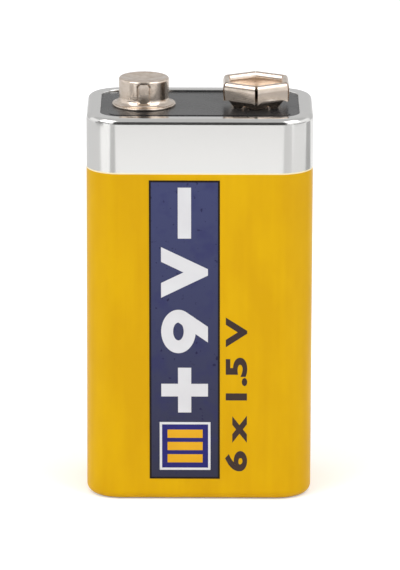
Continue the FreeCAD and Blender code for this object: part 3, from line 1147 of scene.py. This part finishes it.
@dataclass
class Boards:
    """The moulded terminal board and the base board, kept as packed."""

    paints: Paints

    def build(self) -> None:
        """Dresses both boards."""
        for name in ("top_plate", "bottom_plate"):
            self.paints.dress(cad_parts[name], Finish.BOARD)
            LOG.info("%s: dressed as packed", name)


@dataclass
class Stack:
    """The stack of flat cells with its cards, strips, collector and sleeve, kept as packed."""

    paints: Paints
    finishes: dict[str, Finish] = field(default_factory=lambda: {
        "positive_tab": Finish.STRIP, "negative_strip": Finish.STRIP, "top_collector": Finish.STRIP,
        "top_card": Finish.CARD, "bottom_card": Finish.CARD, "stack_sleeve": Finish.SLEEVE})
    cell_finishes: dict[str, Finish] = field(default_factory=lambda: {
        "carbon_film": Finish.CARBON, "zinc_plate": Finish.ZINC, "separator": Finish.PAPER,
        "mix_cake": Finish.MIX, "envelope": Finish.ENVELOPE})

    def build(self) -> None:
        """Dresses every inner piece."""
        for name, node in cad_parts.items():
            if name in self.finishes:
                self.paints.dress(node, self.finishes[name])
            elif name.startswith("cell_"):
                kind = name.split("_", 2)[2]
                self.paints.dress(node, self.cell_finishes[kind])
        LOG.info("stack: inner pieces dressed as packed")


@dataclass(frozen=True)
class Lamp:
    """A soft square lamp that faces the battery's middle."""

    name: str
    place: Triple
    size: float
    power: float
    mirrored: bool = True
    aim: Triple = (0, 0, 22 * MM)

    def build(self) -> None:
        """Hangs the lamp."""
        data = bpy.data.lights.new(self.name, "AREA")
        data.shape = "SQUARE"
        data.size = self.size
        data.energy = self.power
        lamp = link_object(self.name, data)
        lamp.location = self.place
        lamp.rotation_euler = (Vector(self.aim) - Vector(self.place)).to_track_quat("-Z", "Y").to_euler()
        lamp.visible_glossy = self.mirrored


@dataclass(frozen=True)
class Card:
    """A plain studio card that only shows in reflections, at a stated brightness.

    It is tilted up from the floor about X and then turned about Z, both in degrees.
    """

    name: str
    place: Triple
    size: tuple[float, float]
    tilt: float
    turn: float
    brightness: float

    def build(self) -> None:
        """Sets up the card."""
        bm = bmesh.new()
        turned = Matrix.Rotation(math.radians(self.turn), 4, "Z") @ Matrix.Rotation(
            math.radians(self.tilt), 4, "X")
        bmesh.ops.create_grid(
            bm, x_segments=1, y_segments=1, size=0.5,
            matrix=Matrix.Translation(self.place) @ turned @ Matrix.Diagonal((*self.size, 1, 1)))
        card = link_object(self.name, mesh_from(self.name, bm))
        material, tree, shader = new_material(f"{self.name} paint")
        set_node(tree, shader, {"Base Color": (0, 0, 0, 1), "Specular IOR Level": 0.0,
                                "Emission Color": (1, 1, 1, 1), "Emission Strength": self.brightness})
        card.data.materials.append(material)
        card.visible_camera = False
        card.visible_diffuse = False
        card.visible_shadow = False


@dataclass
class Studio:
    """Camera, floor, lamps, cards and world."""

    target: Vector = field(default_factory=lambda: Vector((0.077, -0.21, 23.23)) * MM)
    elevation: float = math.radians(15.24)
    azimuth: float = math.radians(-0.05)
    roll: float = math.radians(0.18)
    distance: float = 594.5 * MM
    lens: float = 327.96
    sensor: float = 36.0
    nearest: float = 10 * MM
    ambient: float = 0.62
    floor_reach: float = 3.0
    floor_color: str = "F2F2F2"
    floor_roughness: float = 0.9
    floor_lift: float = 0.25
    lamps: tuple[Lamp, ...] = (
        Lamp("left_softbox", (-0.50, -0.34, 0.64), 0.55, 3.0),
        Lamp("right_softbox", (0.50, -0.34, 0.64), 0.55, 2.6),
        Lamp("overhead", (0.0, -0.10, 0.90), 0.60, 1.2, False),
    )
    cards: tuple[Card, ...] = (
        Card("front_flag", (0, -0.9, 0.49), (0.9, 0.98), 90, 0, 0.06),
        Card("floor_flag", (0, -0.548, 0.001), (0.7, 0.585), 0, 0, 0.05),
        Card("front_shade", (-0.02, -0.22, 0.0012), (0.20, 0.04), 0, 0, 0.70),
        Card("back_card", (0, 0.95, 0.275), (2.6, 0.55), 90, 0, 0.62),
        Card("high_back_card", (0, 0.95, 0.775), (2.6, 0.45), 90, 0, 0.68),
        Card("ceiling_card", (0, 0, 1.0), (2.6, 2.6), 0, 0, 0.56),
        Card("right_glow", (0.78, -0.45, 0.42), (0.60, 0.36), 90, 60, 1.10),
        Card("left_glow", (-0.78, -0.45, 0.50), (0.60, 0.30), 90, -60, 1.30),
        Card("left_line", (-0.0751, -0.1356, 0.0010), (0.050, 0.17), 0, -29, 0.60),
        Card("left_pale", (-0.139, -0.079, 0.0012), (0.075, 0.17), 0, -60, 1.12),
        Card("left_grey", (-0.16, 0.09, 0.0014), (0.30, 0.20), 0, 90, 0.74),
        Card("left_dusk", (-0.52, -0.30, 0.18), (0.50, 0.14), 90, -60, 0.10),
        Card("petal_flag", (0.0183, -0.0089, 0.0435), (0.009, 0.0018), 90, 60, 0.42),
        Card("stud_flag", (-0.0177, -0.0088, 0.0434), (0.0050, 0.0022), 90, -58, 0.35),
        Card("right_line", (0.0850, -0.1294, 0.0010), (0.084, 0.17), 0, 32, 0.73),
        Card("right_grey", (0.1471, -0.0483, 0.0012), (0.146, 0.17), 0, 73, 0.86),
        Card("right_shade", (0.1419, 0.0601, 0.0014), (0.083, 0.17), 0, 116, 0.45),
    )

    def build(self) -> None:
        """Sets up the whole studio."""
        bpy.context.scene.view_settings.view_transform = "Standard"
        self._camera()
        self._world()
        self._floor()
        for thing in self.lamps + self.cards:
            thing.build()

    def _camera(self) -> None:
        """Aims the camera as the photo was taken."""
        back = Vector((math.sin(self.azimuth) * math.cos(self.elevation),
                       -math.cos(self.azimuth) * math.cos(self.elevation), math.sin(self.elevation)))
        data = bpy.data.cameras.new("camera")
        data.lens = self.lens
        data.sensor_width = self.sensor
        data.clip_start = self.nearest
        camera = link_object("camera", data)
        camera.location = self.target + back * self.distance
        turn = back.to_track_quat("Z", "Y").to_matrix().to_4x4() @ Matrix.Rotation(self.roll, 4, "Z")
        camera.rotation_euler = turn.to_euler()
        bpy.context.scene.camera = camera

    def _world(self) -> None:
        """White where the camera or a mirror looks, and a softer white as light."""
        world = bpy.data.worlds.new("studio")
        world.use_nodes = True
        tree = world.node_tree
        tree.nodes.clear()
        path = add_node(tree, "ShaderNodeLightPath")
        seen = path.outputs["Is Camera Ray"]
        for kind in ("Is Glossy Ray", "Is Transmission Ray"):
            seen = add_node(tree, "ShaderNodeMath", {"operation": "MAXIMUM"},
                            {0: seen, 1: path.outputs[kind]}).outputs[0]
        strength = add_node(tree, "ShaderNodeMapRange", {"To Min": self.ambient, "To Max": 1.0},
                            {"Value": seen}).outputs["Result"]
        light = add_node(tree, "ShaderNodeBackground", {"Color": (1, 1, 1, 1)}, {"Strength": strength})
        add_node(tree, "ShaderNodeOutputWorld", links={"Surface": light.outputs["Background"]})
        bpy.context.scene.world = world

    def _floor(self) -> None:
        """A plain pale floor that keeps the battery's shadow."""
        bm = bmesh.new()
        bmesh.ops.create_grid(bm, x_segments=1, y_segments=1, size=self.floor_reach)
        floor = link_object("floor", mesh_from("floor", bm))
        material, tree, shader = new_material("pale paper floor")
        path = add_node(tree, "ShaderNodeLightPath")
        lift = add_node(tree, "ShaderNodeMath", {"operation": "MULTIPLY", 1: self.floor_lift},
                        {0: path.outputs["Is Camera Ray"]})
        set_node(tree, shader, {"Base Color": linear(self.floor_color), "Roughness": self.floor_roughness,
                                "Specular IOR Level": 0.0, "Emission Color": (1, 1, 1, 1)},
                 {"Emission Strength": lift.outputs[0]})
        floor.data.materials.append(material)


def main() -> None:
    """Builds and dresses the whole battery."""
    logging.basicConfig(level=logging.INFO, format="%(message)s")
    paints = Paints()
    for part in (Jacket(paints), Boards(paints), Stud(paints), Socket(paints), FrontPrint(paints),
                 Stack(paints), Studio()):
        part.build()


if __name__ == "__main__":
    main()
